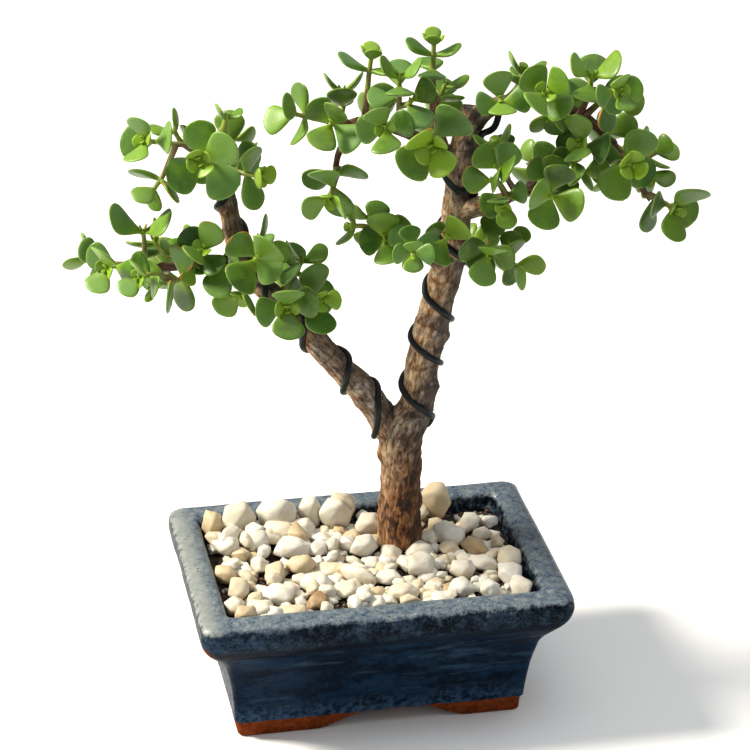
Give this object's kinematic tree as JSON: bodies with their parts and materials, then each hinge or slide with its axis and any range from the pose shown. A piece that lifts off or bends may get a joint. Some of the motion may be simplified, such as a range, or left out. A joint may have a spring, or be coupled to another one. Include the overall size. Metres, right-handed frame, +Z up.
{
  "type": "potted jade bonsai",
  "caption": "Dwarf jade bonsai with a forked trunk wound with training wire, in a rectangular glazed pot of soil topped with marble chips.",
  "frame": {"origin": "on the surface that the pot stands on, under the middle of the whole plant's box", "axes": "+Z up, X along the pot's long side with the lower limb towards -X, and -Y towards the side that is seen"},
  "size_m": [0.2458, 0.1195, 0.2836],
  "materials": {
    "blue_glaze": "mottled gloss glaze",
    "black_plastic": "matte",
    "potting_soil": "loose damp earth with grit",
    "white_marble": "rough broken chips",
    "bark": "peeling papery bark",
    "dark_wire": "satin, dark green-black",
    "jade_leaf": "waxy fleshy leaf"
  },
  "bodies": {
    "root": {"pot": "blue_glaze", "drain_screen_left": "black_plastic", "drain_screen_right": "black_plastic", "soil": "potting_soil", "pebbles": "white_marble", "wood": "bark", "training_wire": "dark_wire", "spray_crown_back": "jade_leaf", "spray_crown_back_east": "jade_leaf", "spray_crown_front": "jade_leaf", "spray_crown_low_face": "jade_leaf", "spray_crown_spire": "jade_leaf", "spray_crown_stem": "jade_leaf", "spray_crown_top": "jade_leaf", "spray_crown_west": "jade_leaf", "spray_crown_west_face": "jade_leaf", "spray_east_back": "jade_leaf", "spray_east_back_out": "jade_leaf", "spray_east_drop_face": "jade_leaf", "spray_east_drop_low": "jade_leaf", "spray_east_drop_under": "jade_leaf", "spray_east_end": "jade_leaf", "spray_east_face": "jade_leaf", "spray_east_first": "jade_leaf", "spray_east_high": "jade_leaf", "spray_east_shoulder": "jade_leaf", "spray_east_spur": "jade_leaf", "spray_east_under": "jade_leaf", "spray_fork_back": "jade_leaf", "spray_fork_crest": "jade_leaf", "spray_fork_drop": "jade_leaf", "spray_fork_east": "jade_leaf", "spray_fork_face": "jade_leaf", "spray_fork_front": "jade_leaf", "spray_fork_side": "jade_leaf", "spray_hang_face": "jade_leaf", "spray_high_back": "jade_leaf", "spray_high_bud": "jade_leaf", "spray_high_crest": "jade_leaf", "spray_high_east": "jade_leaf", "spray_high_face": "jade_leaf", "spray_high_west": "jade_leaf", "spray_inner_face": "jade_leaf", "spray_inner_top": "jade_leaf", "spray_inner_west": "jade_leaf", "spray_mid_back": "jade_leaf", "spray_mid_face": "jade_leaf", "spray_mid_inner": "jade_leaf", "spray_mid_out": "jade_leaf", "spray_mid_under": "jade_leaf", "spray_south_back": "jade_leaf", "spray_south_end": "jade_leaf", "spray_south_face": "jade_leaf", "spray_trunk_face": "jade_leaf", "spray_west_back": "jade_leaf", "spray_west_end": "jade_leaf", "spray_west_front": "jade_leaf", "spray_west_inner": "jade_leaf", "spray_west_mid": "jade_leaf", "spray_west_rise": "jade_leaf"}
  },
  "joints": []
}
